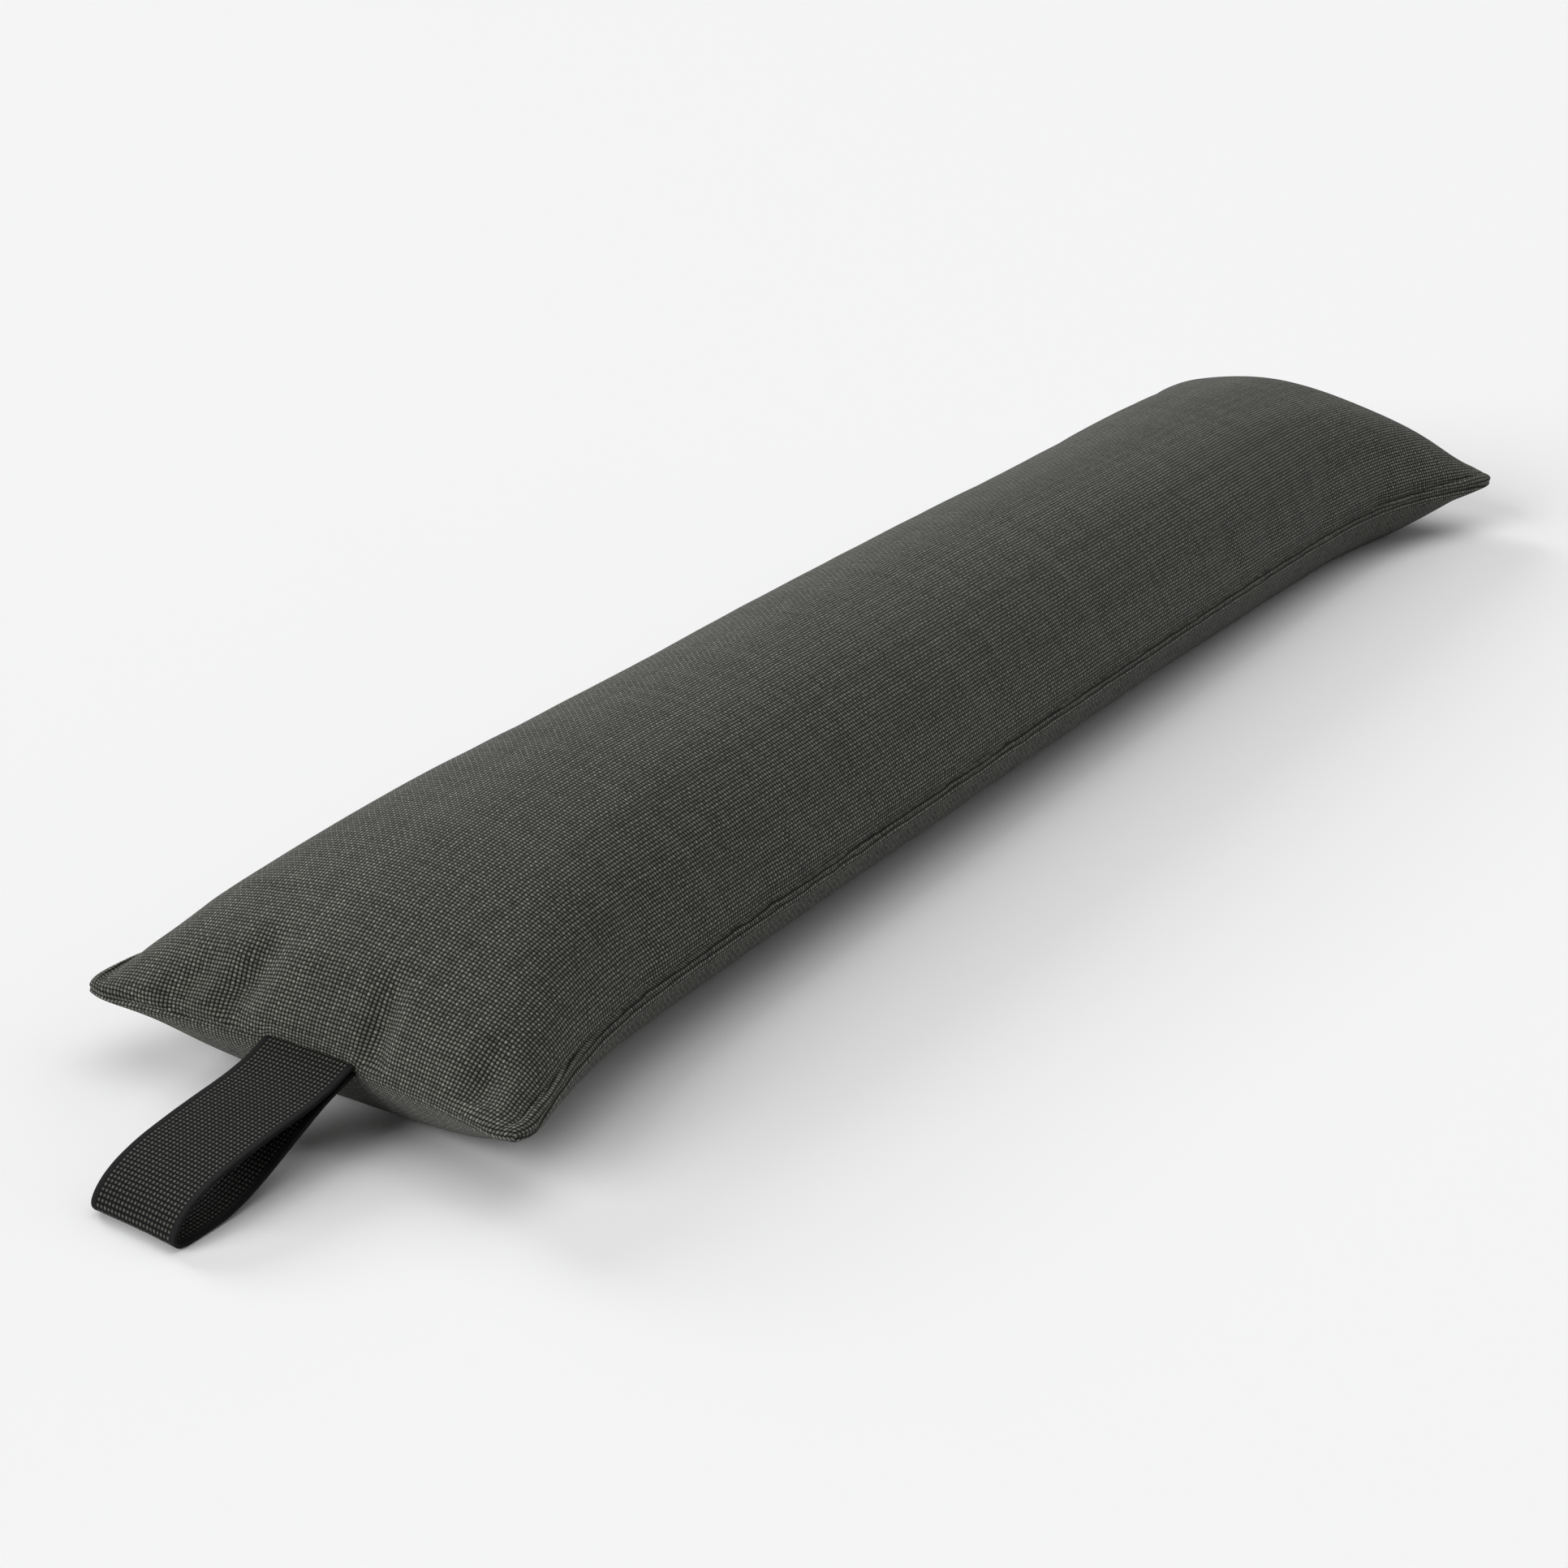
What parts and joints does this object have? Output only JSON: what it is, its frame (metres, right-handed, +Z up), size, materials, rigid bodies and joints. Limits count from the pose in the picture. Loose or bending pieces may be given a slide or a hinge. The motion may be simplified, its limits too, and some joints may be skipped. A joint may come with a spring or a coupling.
{
  "type": "draught excluder",
  "caption": "Long filled canvas cushion that lies along the foot of a door to stop draughts, with a webbing loop at one end to carry or hang it by.",
  "frame": {"origin": "on the floor, under the middle of the whole piece's bounding box", "axes": "+X along the cushion, away from its loop; +Y to the left when looking along +X; +Z up"},
  "size_m": [0.8919, 0.2026, 0.088],
  "materials": {
    "canvas": "coarse dark grey canvas",
    "webbing": "black ribbed webbing"
  },
  "bodies": {
    "root": {"filled_cover": "canvas", "webbing_loop": "webbing"}
  },
  "joints": []
}
